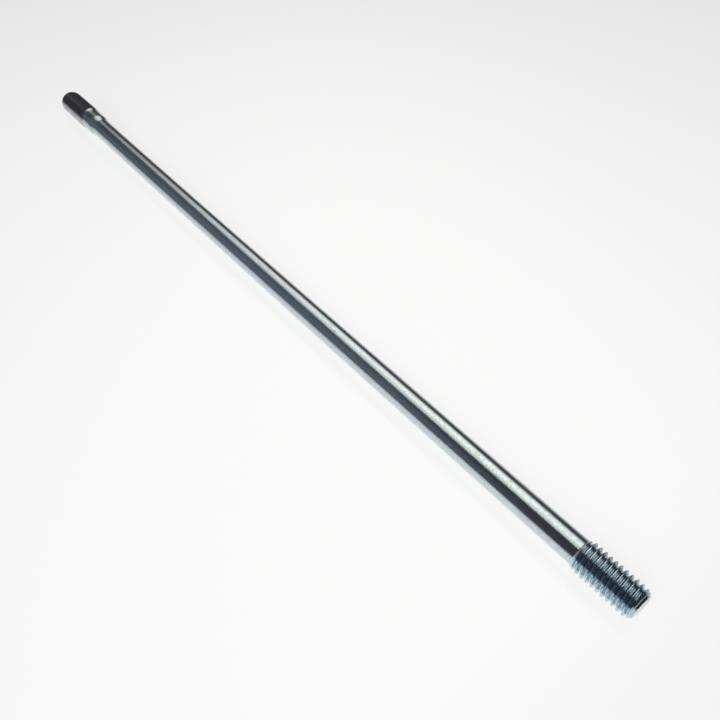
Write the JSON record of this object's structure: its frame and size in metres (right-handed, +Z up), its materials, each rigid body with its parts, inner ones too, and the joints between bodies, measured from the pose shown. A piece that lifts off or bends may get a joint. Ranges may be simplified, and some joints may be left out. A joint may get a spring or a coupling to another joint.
{
  "type": "stud bolt",
  "caption": "Long stud bolt: a coarse-threaded end with a chamfered flat face, a thinner plain shank, and a fine-threaded end with a rounded tip that takes a nut.",
  "frame": {"origin": "on the surface that the stud lies on, under the middle of its length", "axes": "+X along the stud from the rounded tip towards the flat tap end, +Y across it, +Z up"},
  "size_m": [0.3174, 0.0096, 0.0095],
  "materials": {
    "zinc_plated_steel": "bright zinc plate with a faint blue tint and a fine grain"
  },
  "bodies": {
    "root": {"stud_bolt": "zinc_plated_steel"}
  },
  "joints": []
}
